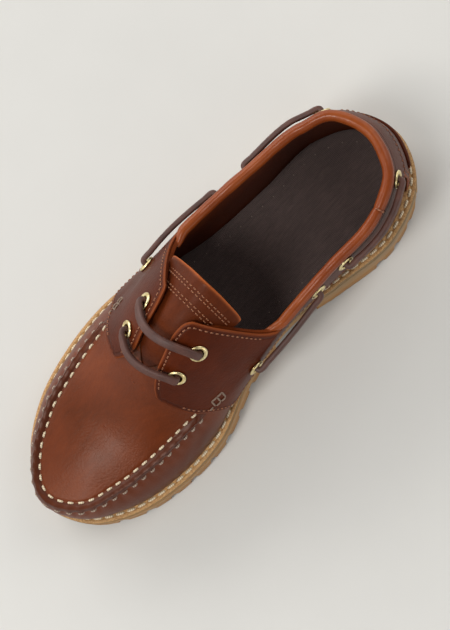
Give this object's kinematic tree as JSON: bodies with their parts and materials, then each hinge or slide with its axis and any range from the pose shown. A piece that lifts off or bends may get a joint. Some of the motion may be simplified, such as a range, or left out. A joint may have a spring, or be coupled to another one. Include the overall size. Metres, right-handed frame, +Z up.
{
  "type": "boat shoe",
  "caption": "Right boat shoe with a raised apron seam, a low padded collar, brass eyelets, a side-run leather lace and a thick lugged rubber sole with a heel.",
  "frame": {"origin": "under the middle of the shoe's length and width, on the ground it stands on", "axes": "+X to the toe, +Y to the inner side of this right shoe, +Z up"},
  "size_m": [0.3002, 0.1114, 0.1146],
  "materials": {
    "gum_rubber": "satin gum rubber",
    "welt_leather": "matte leather board",
    "insole_cloth": "matte woven",
    "upper_leather": "polished pull-up leather",
    "collar_leather": "soft polished leather",
    "lace_leather": "waxed rawhide",
    "eyelet_brass": "polished"
  },
  "bodies": {
    "root": {"outsole": "gum_rubber", "midsole": "welt_leather", "insole": "insole_cloth", "upper": "upper_leather", "saddle": "upper_leather", "heel_patch": "upper_leather", "collar": "collar_leather", "tongue": "upper_leather", "eyelet_throat_outer_front": "eyelet_brass", "eyelet_throat_outer_back": "eyelet_brass", "eyelet_throat_inner_front": "eyelet_brass", "eyelet_throat_inner_back": "eyelet_brass", "eyelet_collar_outer_1": "eyelet_brass", "eyelet_collar_outer_2": "eyelet_brass", "eyelet_collar_outer_3": "eyelet_brass", "eyelet_collar_outer_4": "eyelet_brass", "eyelet_collar_inner_1": "eyelet_brass", "eyelet_collar_inner_2": "eyelet_brass", "eyelet_collar_inner_3": "eyelet_brass", "eyelet_collar_inner_4": "eyelet_brass", "lace_throat_front": "lace_leather", "lace_throat_back": "lace_leather", "lace_outer_front": "lace_leather", "lace_outer_back": "lace_leather", "lace_inner_front": "lace_leather", "lace_inner_back": "lace_leather"}
  },
  "joints": []
}
